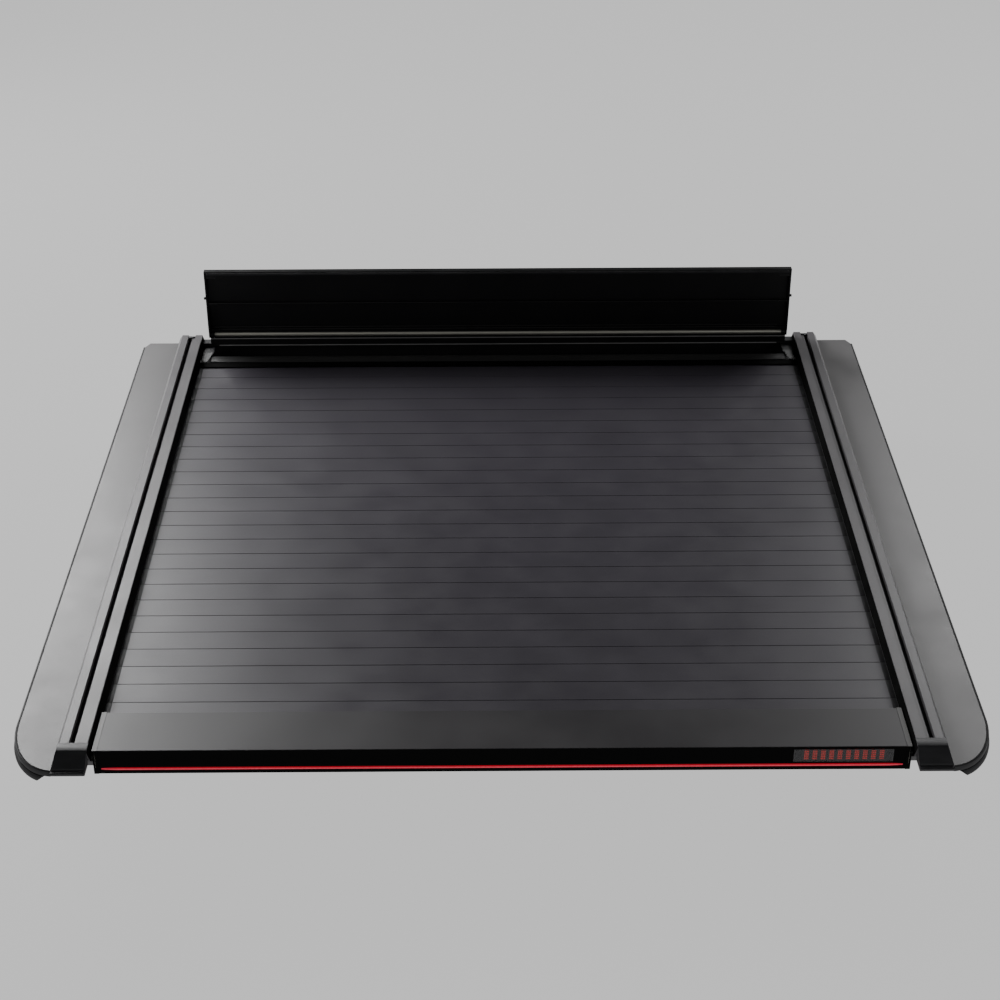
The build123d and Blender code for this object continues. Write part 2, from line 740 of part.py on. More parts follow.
# Hinge rail on top of the canister's back wall, with a neck that carries the hinge rod
with BuildPart() as hinge_rail:
    with BuildSketch(along(-HINGE_RAIL_X)):
        with BuildLine():
            Polyline(
                (LEDGE_FRONT, LEDGE_LOW),
                (LEDGE_FRONT, LEDGE_TOP - 1),
                (LEDGE_FRONT + 1, LEDGE_TOP),
                (HINGE_RAIL_FRONT, LEDGE_TOP),
                (HINGE_RAIL_FRONT, HINGE_RAIL_TOP - 2),
                (HINGE_RAIL_FRONT + 1, HINGE_RAIL_TOP),
                (NECK_FRONT, HINGE_RAIL_TOP),
                (NECK_FRONT, HINGE_Z),
                (NECK_BACK, HINGE_Z),
                (NECK_BACK, HINGE_RAIL_TOP),
                (CAN_BACK, HINGE_RAIL_TOP),
                (CAN_BACK, HINGE_RAIL_LOW),
                (CAN_BACK - 8, HINGE_RAIL_LOW),
                (CAN_BACK - 8, LEDGE_LOW),
                close=True,
            )
        make_face()
        with Locations((HINGE_Y, HINGE_Z)):
            Circle(ROD_R, mode=Mode.SUBTRACT)
        chamber = HINGE_RAIL_TOP - LEDGE_TOP - RAIL_SKIN
        with Locations((HINGE_RAIL_FRONT + RAIL_SKIN, LEDGE_TOP)):
            Rectangle(14, chamber, align=(Align.MIN, Align.MIN), mode=Mode.SUBTRACT)
    extrude(amount=2 * HINGE_RAIL_X)
    # The neck is as long as the rod
    with BuildSketch(Plane.XY.offset(HINGE_RAIL_TOP)):
        for side in (1, -1):
            with Locations((side * (ROD_X + HINGE_RAIL_X) / 2, HINGE_Y)):
                Rectangle(HINGE_RAIL_X - ROD_X, 2 * ROD_R)
    extrude(amount=2 * ROD_R, mode=Mode.SUBTRACT)

write(hinge_rail, "hinge_rail")

with BuildPart() as rod:
    with BuildSketch(along(-ROD_X)):
        with Locations((HINGE_Y, HINGE_Z)):
            Circle(ROD_R)
    extrude(amount=2 * ROD_X)
    chamfer(rod.edges(), length=0.8)

write(rod, "hinge_rod")

# Blocks that close the gap between the hinge rail's ends and the rails' sloping flanks
with BuildPart() as end_blocks:
    with BuildSketch(across(RAIL_BACK)):
        with BuildLine():
            Polyline(
                (HINGE_RAIL_X, LEDGE_LOW),
                (LIP_IN + 0.7, LEDGE_LOW),
                (LIP_IN + 3.1, END_BLOCK_TOP),
                (HINGE_RAIL_X, END_BLOCK_TOP),
                close=True,
            )
        make_face()
    extrude(amount=RAIL_BACK - LEDGE_FRONT)
    mirror(about=Plane.YZ)

write(end_blocks, "hinge_end_blocks")

# Rubber wiper that lies across the canister's mouth, just over the curtain
with BuildPart() as wiper:
    with BuildSketch(across(WIPER_BACK)):
        with BuildLine():
            Polyline(
                (LIP_IN - 0.05, WIPER_LOW),
                (LIP_IN - 0.05, CHANNEL_ROOF),
                (LIP_IN + 0.4, WIPER_TOP),
                (-LIP_IN - 0.4, WIPER_TOP),
                (-LIP_IN + 0.05, CHANNEL_ROOF),
                (-LIP_IN + 0.05, WIPER_LOW),
                close=True,
            )
        make_face()
    extrude(amount=WIPER_BACK - WIPER_FRONT)

write(wiper, "mouth_wiper")

# ---- Drive under the end of the curtain ----
with BuildPart() as tube:
    with BuildSketch(along(-DRIVE_X)):
        with Locations((DRIVE_Y, DRIVE_Z)):
            Circle(DRIVE_TUBE_R)
            Circle(DRIVE_BORE_R, mode=Mode.SUBTRACT)
    extrude(amount=2 * DRIVE_X)

write(tube, "drive_tube")

tyre_pitch = 2 * (DRIVE_X - TYRE_W) / (TYRES - 1)
with BuildPart() as tyres:
    for number in range(TYRES):
        middle = (number - (TYRES - 1) / 2) * tyre_pitch
        with BuildSketch(along(middle - TYRE_W / 2)):
            with Locations((DRIVE_Y, DRIVE_Z)):
                Circle(TYRE_R)
                Circle(DRIVE_TUBE_R, mode=Mode.SUBTRACT)
        extrude(amount=TYRE_W)
    chamfer(tyres.edges().filter_by(lambda e: e.length > 6 * TYRE_R), length=1)

write(tyres, "drive_tyres")

with BuildPart() as motor:
    with BuildSketch(along(-DRIVE_X)):
        with Locations((DRIVE_Y, DRIVE_Z)):
            Circle(MOTOR_R)
    extrude(amount=MOTOR_LENGTH)
    with BuildSketch(along(-CAN_X)):
        with Locations((DRIVE_Y, DRIVE_Z)):
            RectangleRounded(FLANGE, FLANGE, 6)
    extrude(amount=CAN_X - DRIVE_X - 2)
    with BuildSketch(along(-DRIVE_X - 2)):
        with Locations((DRIVE_Y, DRIVE_Z)):
            Circle(MOTOR_R - 3)
    extrude(amount=2)

write(motor, "drive_motor")

with BuildPart() as bearing:
    with BuildSketch(along(DRIVE_X + 2)):
        with Locations((DRIVE_Y, DRIVE_Z)):
            RectangleRounded(FLANGE, FLANGE, 6)
    extrude(amount=CAN_X - DRIVE_X - 2)
    with BuildSketch(along(DRIVE_X - 30)):
        with Locations((DRIVE_Y, DRIVE_Z)):
            Circle(DRIVE_BORE_R - RUN_CLEAR)
    extrude(amount=32)

write(bearing, "drive_bearing")

# Drain spigots through the canister floor
with BuildPart() as spigots:
    for side in (1, -1):
        with BuildSketch(Plane.XY.offset(CAN_FLOOR - SPIGOT_OUT)):
            with Locations((side * SPIGOT_X, COIL_Y)):
                Circle(SPIGOT_R)
        extrude(amount=SPIGOT_OUT - 1)
        with BuildSketch(Plane.XY.offset(CAN_FLOOR - 1)):
            with Locations((side * SPIGOT_X, COIL_Y)):
                Circle(SPIGOT_NECK_R)
        extrude(amount=CAN_WALL + 1)
        with BuildSketch(Plane.XY.offset(CAN_FLOOR + CAN_WALL)):
            with Locations((side * SPIGOT_X, COIL_Y)):
                Circle(SPIGOT_NECK_R + 3)
        extrude(amount=1.2)
    with Locations(*[(side * SPIGOT_X, COIL_Y, CAN_FLOOR) for side in (1, -1)]):
        Cylinder(SPIGOT_R - SPIGOT_WALL, 4 * SPIGOT_OUT, mode=Mode.SUBTRACT)

write(spigots, "drain_spigots")

# Screws that hold the canister's end plates
screw_places = [(SCREW_FRONT, CAN_TOP - 12), (SCREW_FRONT, NOSE_FLOOR + 10), (CAN_FRONT + 8, CAN_FLOOR + 17)]
screw_places += [(SCREW_BACK, CAN_FLOOR + 17), (SCREW_BACK, CAN_TOP - 22)]
with BuildPart() as screws:
    for side in (1, -1):
        with BuildSketch(along(side * RAIL_WEB_OUT)):
            with Locations(*screw_places):
                Circle(SCREW_HEAD_R)
                RegularPolygon(SCREW_HEAD_R - 2.5, 6, mode=Mode.SUBTRACT)
        extrude(amount=side * SCREW_HEAD_H)

write(screws, "canister_screws")

# ---- Lid ----
def hook_section():
    """Hook that turns on the hinge rod, open below so that it clears the rod's neck."""
    with BuildLine() as outline:
        span = HOOK_TO - HOOK_FROM
        outer = CenterArc((HINGE_Y, HINGE_Z), HOOK_R, HOOK_FROM, span)
        tip = Line(outer @ 1, hinge_point(ROD_R + RUN_CLEAR, HOOK_TO))
        inner = CenterArc((HINGE_Y, HINGE_Z), ROD_R + RUN_CLEAR, HOOK_TO, -span)
        Line(inner @ 1, outer @ 0)
    make_face(outline.edges())


with BuildPart() as lid:
    with BuildSketch(along(-LID_BOSS_X)):
        hook_section()
    extrude(amount=2 * LID_BOSS_X)
    with BuildSketch(along(-LID_X)) as lid_section:
        with BuildLine():
            Polyline(
                (LID_FACE, HINGE_Z + HOOK_R - 1),
                (SHOULDER_FRONT, HINGE_Z + HOOK_R - 0.6),
                (SHOULDER_FRONT, SHOULDER_TOP),
                (LID_FACE, SHOULDER_TOP),
                (LID_FACE, LID_TOP),
                (LID_FACE + LID_SKIN, LID_TOP),
                (LID_FACE + LID_SKIN, HINGE_Z + HOOK_R - 2),
                (LID_FACE, HINGE_Z + HOOK_R - 2),
                close=True,
            )
        make_face()
        with Locations((LID_FACE, LID_LIP_LOW)):
            Rectangle(LID_FACE - LID_LIP_FRONT, LID_TOP - LID_LIP_LOW, align=(Align.MAX, Align.MIN))
        with Locations((LID_FACE - 1, LID_LIP_LOW + 2)):
            lip_hollow = (LID_FACE - LID_LIP_FRONT - 3, LID_TOP - LID_LIP_LOW - 4)
            Rectangle(*lip_hollow, align=(Align.MAX, Align.MIN), mode=Mode.SUBTRACT)
        with Locations((LID_FACE, LID_RIB_Z)):
            Rectangle(LID_FACE - LID_RIB_FRONT, LID_RIB_T, align=(Align.MAX, Align.CENTER))
        with Locations((LID_FACE, LID_FOOT_Z)):
            Rectangle(LID_FACE - LID_FOOT_FRONT, LID_RIB_T, align=(Align.MAX, Align.CENTER))
    extrude(amount=2 * LID_X)

write(lid, "lid_panel")

# End caps of the lid, each with a boss over the rod's end, three tabs and a side peg
with BuildPart() as lid_caps:
    for side in (1, -1):
        with BuildSketch(along(side * LID_X)):
            with BuildLine():
                Polyline(
                    (LID_FACE + LID_SKIN, HINGE_Z),
                    (LID_FACE + LID_SKIN, LID_TOP),
                    (LID_LIP_FRONT - 1, LID_TOP),
                    (LID_LIP_FRONT - 1, LID_LIP_LOW),
                    (LID_LIP_FRONT, LID_LIP_LOW - 6),
                    (LID_LIP_FRONT, HINGE_Z + 16),
                    (LID_FACE - HOOK_R, HINGE_Z + 6),
                    (LID_FACE - HOOK_R, HINGE_Z),
                    close=True,
                )
            make_face()
            with Locations((HINGE_Y, HINGE_Z)):
                Circle(HOOK_R)
        extrude(amount=side * (LID_CAP_X - LID_X))
        with BuildSketch(along(side * (LID_BOSS_X + JOINT_GAP))):
            with Locations((HINGE_Y, HINGE_Z)):
                Circle(HOOK_R)
            with Locations((LID_FACE - HOOK_R, HINGE_Z + HOOK_R - 2)):
                Rectangle(3 * HOOK_R, 3 * HOOK_R, align=(Align.MIN, Align.MIN), mode=Mode.SUBTRACT)
        extrude(amount=side * (LID_X - LID_BOSS_X - JOINT_GAP))
        with BuildSketch(along(side * LID_CAP_X)):
            with Locations((LID_FACE - 4, PEG_Z)):
                Circle(PEG_R)
        extrude(amount=side * (PEG_OUT - LID_CAP_X))
        # Tabs that grip the lip, the rib and the shoulder from inside
        with BuildSketch(along(side * (LID_X - LID_TAB))):
            for reach, top in ((9, LID_LIP_LOW), (8, LID_RIB_Z - LID_RIB_T / 2)):
                with Locations((LID_FACE, top)):
                    Rectangle(reach, TAB_T, align=(Align.MAX, Align.MAX))
            with Locations((LID_FACE, SHOULDER_TOP)):
                Rectangle(8, TAB_T, align=(Align.MAX, Align.MIN))
        extrude(amount=side * LID_TAB)

write(lid_caps, "lid_end_caps")

# Rubber seal along the lid's front lip
with BuildPart() as lid_seal:
    with BuildSketch(along(-LID_X + 2)):
        with Locations((LID_LIP_FRONT, LID_TOP - 5)):
            RectangleRounded(8, 6, 2.5)
        with Locations((LID_LIP_FRONT, LID_TOP - 5)):
            Rectangle(4, 6, align=(Align.MIN, Align.CENTER), mode=Mode.SUBTRACT)
    extrude(amount=2 * (LID_X - 2))

write(lid_seal, "lid_seal")
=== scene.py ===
import json
from math import cos, pi, radians, sin

import bmesh
import bpy
from mathutils import Matrix, Vector


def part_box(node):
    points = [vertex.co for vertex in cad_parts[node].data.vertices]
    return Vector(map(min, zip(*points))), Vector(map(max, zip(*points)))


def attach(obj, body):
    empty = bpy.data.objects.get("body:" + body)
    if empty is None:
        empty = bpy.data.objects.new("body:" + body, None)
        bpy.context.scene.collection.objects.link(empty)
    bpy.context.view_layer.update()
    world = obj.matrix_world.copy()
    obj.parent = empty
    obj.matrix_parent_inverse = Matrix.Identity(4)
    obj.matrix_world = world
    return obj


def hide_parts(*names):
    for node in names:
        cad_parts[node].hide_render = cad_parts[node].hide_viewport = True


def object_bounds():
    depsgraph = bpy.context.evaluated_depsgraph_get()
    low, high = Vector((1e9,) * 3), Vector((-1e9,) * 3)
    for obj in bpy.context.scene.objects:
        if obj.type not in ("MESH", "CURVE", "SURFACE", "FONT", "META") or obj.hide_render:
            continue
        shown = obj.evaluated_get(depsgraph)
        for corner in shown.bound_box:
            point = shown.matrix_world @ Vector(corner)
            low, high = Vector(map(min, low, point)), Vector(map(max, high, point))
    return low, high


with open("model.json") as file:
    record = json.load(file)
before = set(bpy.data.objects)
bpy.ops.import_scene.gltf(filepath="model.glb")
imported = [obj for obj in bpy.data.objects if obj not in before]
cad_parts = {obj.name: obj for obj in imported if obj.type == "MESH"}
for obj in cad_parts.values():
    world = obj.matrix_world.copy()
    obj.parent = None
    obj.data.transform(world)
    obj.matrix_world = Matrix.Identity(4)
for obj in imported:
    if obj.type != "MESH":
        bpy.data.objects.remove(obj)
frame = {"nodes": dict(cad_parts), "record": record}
cad_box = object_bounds()

MM = 0.001

# ---- Camera and stage, in metres ----
CAMERA_AT = Vector((-0.011, -3.254, 1.988))
CAMERA_PITCH = radians(30.82)
CAMERA_YAW = radians(0.20)
CAMERA_ROLL = radians(-0.214)
CAMERA_LENS = 70.9
CAMERA_SENSOR = 36
CAMERA_SIGHT = 400
FLOOR_DROP = 0.002
FLOOR_SIZE = 240
FLOOR_TONE = 0.06
FLOOR_GLOW = 0.72
WORLD_TONE = 0.8
WORLD_STRENGTH = 0.06

# ---- Dimensions of the trim, in millimetres; where a CAD node gives a place, it is read from the node ----
# Inner flank of each rail's rib, from its foot to its crown.
RIB_FOOT_X, RIB_FOOT_Z = 663.6, 2.5
RIB_CROWN_X, RIB_CROWN_Z = 670, 24
# Rounded front corner of each side cover: its centre and radii.
CORNER_X, CORNER_Y = 720, -640
CORNER_RX, CORNER_RY = 78.5, 126
# Angles round that corner at which the seal's band and lip begin: the lip is cut back on a slant.
BAND_START, LIP_START, LIP_END_START = 273, 281, 291
LIP_TOP_Z, LIP_DEPTH = -8, 14
CORNER_STEPS = 44
# End cap: rear face, spread of its outer side towards the foot, and the height that the spread starts from.
CAP_BACK_Y = -721
CAP_FLARE = 7
CAP_FLARE_Z = 4
# Slats' end shoes: their span in X, their gap to the slat's edges, how far they sink in and stand up.
SLAT_COUNT = 25
SLAT_DEPTH = 51.4
SHOE_INNER_X, SHOE_OUTER_X = 654.6, 663.4
SHOE_GAP = 0.2
SHOE_SINK, SHOE_RISE = 0.4, 0.22
# Light strip's diffuser.
STRIP_HALF = 1.8
STRIP_BULGE = 1.2
STRIP_TAPER = 26
STRIP_GLOW_LOW, STRIP_GLOW_HIGH = -25.4, -21.2
# Brake light: blocks of small lights in columns and rows.
LIGHT_BLOCKS, LIGHT_COLUMNS, LIGHT_ROWS = 10, 3, 5
LIGHT_BLOCK_PITCH, LIGHT_COLUMN_PITCH, LIGHT_ROW_PITCH = 13.6, 2.6, 3.8
LIGHT_FIRST_X = 21.3
LIGHT_RADIUS, LIGHT_HEIGHT = 1.15, 1.5
BEZEL_RIM, BEZEL_PROUD = 0.7, 0.3
# Wiper's carrier strip and the guides beside it.
CARRIER_REACH = 640
CARRIER_DEPTH = 27
# Corner plates at the mouth.
PLATE_LOW, PLATE_TOP = 2.7, 4.4
PLATE_BACK_Y = 775
# Painted highlights along the upper and lower edge of the hinge rail: place in Y, height, and reach to each
# side.
HINGE_EDGES = ((756.9, 23.4, 648.5), (753.8, 8.4, 630))
# Blocks of the slot plugs: inner and outer X, length in Y, bottom and top. They end just inside the rail.
PLUG_BLOCKS = ((692.7, 700.3, 9, 14.2, 21.5), (688.4, 704.6, 9, 6.2, 13.8), (685.2, 692.7, 5, 19.1, 21.5))
PLUG_SINK = 0.4
# Canister's rivets.
RIVET_COUNT = 14
RIVET_INSET = 12
RIVET_RADIUS, RIVET_HEIGHT = 3.0, 1.0
CANISTER_FRONT_Y = 604.05
CANISTER_NOSE_Z = -58


def make_camera():
    ahead = Vector((
        sin(CAMERA_YAW) * cos(CAMERA_PITCH),
        cos(CAMERA_YAW) * cos(CAMERA_PITCH),
        -sin(CAMERA_PITCH),
    ))
    level = Vector((cos(CAMERA_YAW), -sin(CAMERA_YAW), 0))
    over = level.cross(ahead)
    right = cos(CAMERA_ROLL) * level + sin(CAMERA_ROLL) * over
    up = cos(CAMERA_ROLL) * over - sin(CAMERA_ROLL) * level
    data = bpy.data.cameras.new("camera")
    data.lens = CAMERA_LENS
    data.sensor_width = CAMERA_SENSOR
    data.clip_end = CAMERA_SIGHT
    camera = bpy.data.objects.new("camera", data)
    turn = Matrix((right, up, -ahead)).transposed()
    camera.matrix_world = Matrix.Translation(CAMERA_AT) @ turn.to_4x4()
    bpy.context.scene.collection.objects.link(camera)
    bpy.context.scene.camera = camera


def add_light(name, place, target, size, power):
    """Soft rectangular light at a place, aimed at a target."""
    data = bpy.data.lights.new(name, "AREA")
    data.shape = "RECTANGLE"
    data.size, data.size_y = size
    data.energy = power
    light = bpy.data.objects.new(name, data)
    aim = Vector(target) - Vector(place)
    light.rotation_euler = aim.to_track_quat("-Z", "Y").to_euler()
    light.location = place
    bpy.context.scene.collection.objects.link(light)


def make_stage():
    """Pale floor that glows a little, so that it stays plain and free of hard shadows."""
    bpy.ops.mesh.primitive_plane_add(size=FLOOR_SIZE, location=(0, 0, cad_box[0][2] - FLOOR_DROP))
    floor = bpy.context.active_object
    floor.name = "floor"
    material, tree, shader = new_material("floor_paint")
    shader.inputs["Base Color"].default_value = (FLOOR_TONE, FLOOR_TONE, FLOOR_TONE, 1)
    shader.inputs["Roughness"].default_value = 0.95
    shader.inputs["Specular IOR Level"].default_value = 0.0
    shader.inputs["Emission Color"].default_value = (1, 1, 1, 1)
    shader.inputs["Emission Strength"].default_value = FLOOR_GLOW
    floor.data.materials.append(material)

    world = bpy.data.worlds.new("studio")
    world.use_nodes = True
    background = world.node_tree.nodes["Background"]
    background.inputs["Color"].default_value = (WORLD_TONE, WORLD_TONE, WORLD_TONE, 1)
    background.inputs["Strength"].default_value = WORLD_STRENGTH
    bpy.context.scene.world = world


# ---- Node materials ----
def new_material(name):
    material = bpy.data.materials.new(name)
    material.use_nodes = True
    tree = material.node_tree
    return material, tree, tree.nodes["Principled BSDF"]


def add_node(tree, kind, **inputs):
    """Shader node with the values of its inputs."""
    node = tree.nodes.new("ShaderNode" + kind)
    for key, value in inputs.items():
        node.inputs[key].default_value = value
    return node


def shades(color, factor):
    return [channel * factor for channel in color]


def noise(tree, scale, detail=3.0, rough=0.55, stretch=(1, 1, 1)):
    """Noise in the object's own coordinates, which stretch draws out along an axis."""
    place = add_node(tree, "TexCoord")
    mapping = add_node(tree, "Mapping", Scale=stretch)
    tree.links.new(place.outputs["Object"], mapping.inputs["Vector"])
    texture = add_node(tree, "TexNoise", Scale=scale, Detail=detail, Roughness=rough)
    tree.links.new(mapping.outputs["Vector"], texture.inputs["Vector"])
    return texture.outputs["Fac"]


def spread(tree, value, low, high, from_low=0.3, from_high=0.7):
    """Maps a value from one range to another, and clamps it."""
    ranged = add_node(tree, "MapRange")
    ranged.inputs["From Min"].default_value = from_low
    ranged.inputs["From Max"].default_value = from_high
    ranged.inputs["To Min"].default_value = low
    ranged.inputs["To Max"].default_value = high
    tree.links.new(value, ranged.inputs["Value"])
    return ranged.outputs["Result"]


def mix_color(tree, factor, first, second):
    """Blend of two colours; the factor and the colours are sockets or plain values."""
    blend = tree.nodes.new("ShaderNodeMix")
    blend.data_type = "RGBA"
    if hasattr(factor, "links"):
        tree.links.new(factor, blend.inputs["Factor"])
    else:
        blend.inputs["Factor"].default_value = factor
    for socket, value in ((blend.inputs[6], first), (blend.inputs[7], second)):
        if hasattr(value, "links"):
            tree.links.new(value, socket)
        else:
            socket.default_value = (*value, 1)
    return blend.outputs[2]


def bump(tree, shader, height, strength, distance):
    node = add_node(tree, "Bump", Strength=strength, Distance=distance)
    tree.links.new(height, node.inputs["Height"])
    tree.links.new(node.outputs["Normal"], shader.inputs["Normal"])


def powder_coat(name, color, rough=0.45, grain=900, depth=0.00006, mottle=0.12, specular=0.5,
                stretch=(1, 1, 1)):
    """Powder-coated metal: orange-peel grain, slow colour variation and dust-like roughness patches."""
    material, tree, shader = new_material(name)
    slow = noise(tree, 5, detail=4, stretch=stretch)
    fine = noise(tree, grain, detail=2)
    base = mix_color(tree, spread(tree, slow, 0, 1), shades(color, 1 - mottle), shades(color, 1 + mottle))
    speckled = mix_color(tree, spread(tree, fine, 0, 1, 0.25, 0.75), shades(color, 0.8), shades(color, 1.25))
    tree.links.new(mix_color(tree, 0.5, base, speckled), shader.inputs["Base Color"])
    patches = noise(tree, 11, detail=5)
    tree.links.new(spread(tree, patches, rough - 0.04, rough + 0.05), shader.inputs["Roughness"])
    shader.inputs["Specular IOR Level"].default_value = specular
    bump(tree, shader, fine, 0.6, depth)
    return material


def coat_with_painted_front_shade(name, top, front, rough=0.42, grain=1000):
    """Powder coat with painted shade: its upright front faces are painted darker and duller than its upper
    faces, standing in for the shade that falls on them.
    """
    material, tree, shader = new_material(name)
    geometry = add_node(tree, "NewGeometry")
    split = add_node(tree, "SeparateXYZ")
    tree.links.new(geometry.outputs["Normal"], split.inputs["Vector"])
    upward = spread(tree, split.outputs["Z"], 0, 1, 0.3, 0.8)
    fine = noise(tree, grain, detail=2)
    slow = noise(tree, 5, detail=4)
    mottled = mix_color(tree, spread(tree, slow, 0, 1), shades(top, 0.88), shades(top, 1.12))
    # Painted shade: faces that do not face up take the dark front colour and less specular, in place of the
    # shade on the fronts.
    tree.links.new(mix_color(tree, upward, front, mottled), shader.inputs["Base Color"])
    tree.links.new(spread(tree, slow, rough - 0.03, rough + 0.05), shader.inputs["Roughness"])
    tree.links.new(spread(tree, upward, 0.03, 0.5, 0, 1), shader.inputs["Specular IOR Level"])
    bump(tree, shader, fine, 0.6, 0.00006)
    return material


def moulded_plastic(name, color, rough=0.5, grain=1300, depth=0.00008, specular=0.4):
    """Moulded black plastic with a fine spark-eroded texture and faint handling marks."""
    material, tree, shader = new_material(name)
    fine = noise(tree, grain, detail=1)
    marks = noise(tree, 35, detail=5, stretch=(1, 3, 1))
    tinted = mix_color(tree, spread(tree, marks, 0, 1), color, shades(color, 1.5))
    tree.links.new(tinted, shader.inputs["Base Color"])
    tree.links.new(spread(tree, marks, rough - 0.06, rough + 0.06), shader.inputs["Roughness"])
    shader.inputs["Specular IOR Level"].default_value = specular
    bump(tree, shader, fine, 0.5, depth)
    return material


def brushed_metal(name, color, rough=0.3, along=(1, 60, 60)):
    """Drawn or brushed metal with scratches along one axis."""
    material, tree, shader = new_material(name)
    lines = noise(tree, 30, detail=6, rough=0.7, stretch=along)
    bright = [min(1, channel) for channel in shades(color, 1.15)]
    tinted = mix_color(tree, spread(tree, lines, 0, 1), shades(color, 0.8), bright)
    tree.links.new(tinted, shader.inputs["Base Color"])
    tree.links.new(spread(tree, lines, rough - 0.08, rough + 0.1), shader.inputs["Roughness"])
    shader.inputs["Metallic"].default_value = 1.0
    bump(tree, shader, lines, 0.25, 0.00003)
    return material


def rubber(name, color=(0.012, 0.012, 0.013), rough=0.62, specular=0.35):
    """Extruded rubber: matt, with faint extrusion lines and a dusty bloom."""
    material, tree, shader = new_material(name)
    bloom = noise(tree, 22, detail=6)
    lines = noise(tree, 120, detail=2, stretch=(8, 0.3, 8))
    tinted = mix_color(tree, spread(tree, bloom, 0, 1), color, shades(color, 2.2))
    tree.links.new(tinted, shader.inputs["Base Color"])
    tree.links.new(spread(tree, bloom, rough - 0.08, rough + 0.08), shader.inputs["Roughness"])
    shader.inputs["Specular IOR Level"].default_value = specular
    bump(tree, shader, lines, 0.2, 0.0001)
    return material


def glowing_plastic(name, color, glow, strength):
    """Red diffuser plastic that is lit from inside."""
    material, tree, shader = new_material(name)
    ribs = noise(tree, 260, detail=1, stretch=(1, 0.2, 0.2))
    tinted = mix_color(tree, spread(tree, ribs, 0, 1), shades(color, 0.85), color)
    tree.links.new(tinted, shader.inputs["Base Color"])
    tree.links.new(spread(tree, ribs, 0.24, 0.34), shader.inputs["Roughness"])
    shader.inputs["Emission Color"].default_value = (*glow, 1)
    shader.inputs["Emission Strength"].default_value = strength
    bump(tree, shader, ribs, 0.3, 0.00005)
    return material


def light_bar_red(name, strength, low, high):
    """Red diffuser with a paler core along its middle, between two heights."""
    material, tree, shader = new_material(name)
    place = add_node(tree, "TexCoord")
    split = add_node(tree, "SeparateXYZ")
    tree.links.new(place.outputs["Object"], split.inputs["Vector"])
    middle, half = (low + high) / 2, (high - low) / 2
    rising = spread(tree, split.outputs["Z"], 0, 1, middle - half, middle)
    falling = spread(tree, split.outputs["Z"], 1, 0, middle, middle + half)
    core = tree.nodes.new("ShaderNodeMath")
    core.operation = "MULTIPLY"
    tree.links.new(rising, core.inputs[0])
    tree.links.new(falling, core.inputs[1])
    glow = mix_color(tree, core.outputs[0], (0.55, 0.004, 0.012), (1.0, 0.06, 0.12))
    tree.links.new(glow, shader.inputs["Emission Color"])
    specks = noise(tree, 240, detail=1)
    glints = spread(tree, specks, strength * 0.9, strength * 1.1)
    tree.links.new(glints, shader.inputs["Emission Strength"])
    shader.inputs["Base Color"].default_value = (0.35, 0.01, 0.02, 1)
    shader.inputs["Roughness"].default_value = 0.25
    return material


def smoked_lens(name):
    """Clear dark plastic with a faint haze."""
    material, tree, shader = new_material(name)
    haze = noise(tree, 60, detail=4)
    tree.links.new(spread(tree, haze, 0.05, 0.12), shader.inputs["Roughness"])
    tinted = mix_color(tree, haze, (0.12, 0.12, 0.13), (0.16, 0.16, 0.17))
    tree.links.new(tinted, shader.inputs["Base Color"])
    shader.inputs["Transmission Weight"].default_value = 0.9
    shader.inputs["IOR"].default_value = 1.45
    return material


# ---- Paints, plastics, rubbers and metals ----
# The dark second colour of the bar and of the end plates is painted shade on their front faces.
BAR_PAINT = coat_with_painted_front_shade("bar_paint", (0.028, 0.026, 0.029), (0.0015, 0.0015, 0.0016))
END_PAINT = coat_with_painted_front_shade("end_plate_paint", (0.05, 0.048, 0.048), (0.002, 0.002, 0.002), rough=0.36)
RAIL_PAINT = powder_coat("rail_paint", (0.105, 0.101, 0.106), rough=0.36, grain=1100, mottle=0.06)
COVER_PAINT = powder_coat("cover_paint", (0.112, 0.109, 0.111), rough=0.38, grain=1000, mottle=0.06)
SLAT_PAINT = powder_coat("slat_paint", (0.044, 0.040, 0.050), rough=0.38, grain=750, depth=0.00009)
LID_PAINT = powder_coat("lid_paint", (0.008, 0.008, 0.0085), rough=0.36, grain=900, specular=0.3)
CANISTER_PAINT = powder_coat("canister_paint", (0.016, 0.016, 0.017), rough=0.5, grain=800)
HINGE_PAINT = powder_coat("hinge_paint", (0.010, 0.010, 0.010), rough=0.34, grain=1200, stretch=(1, 6, 6))
MOTOR_PAINT = powder_coat("motor_paint", (0.10, 0.10, 0.105), rough=0.5)
BEZEL_PAINT = powder_coat("bezel_paint", (0.03, 0.03, 0.031), rough=0.3, grain=1200)
CARRIER_PAINT = powder_coat("carrier_paint", (0.030, 0.030, 0.030), rough=0.36, grain=1200)
GUIDE_PAINT = powder_coat("guide_paint", (0.004, 0.004, 0.004), rough=0.42, grain=1200, specular=0.25)
# Pale paint for the painted highlight along the seams between covers and rails.
SEAM_HIGHLIGHT_PAINT = powder_coat("seam_highlight_paint", (0.20, 0.195, 0.20), rough=0.34, grain=1000)
# Paler coat for the painted highlights along the lid's edges.
LID_SHEEN = powder_coat("lid_sheen", (0.05, 0.05, 0.05), rough=0.3, grain=900)
CAP_PLASTIC = moulded_plastic("cap_plastic", (0.020, 0.020, 0.022), rough=0.46)
NYLON = moulded_plastic("runner_nylon", (0.012, 0.012, 0.013), rough=0.45)
BLACK_RUBBER = rubber("black_rubber")
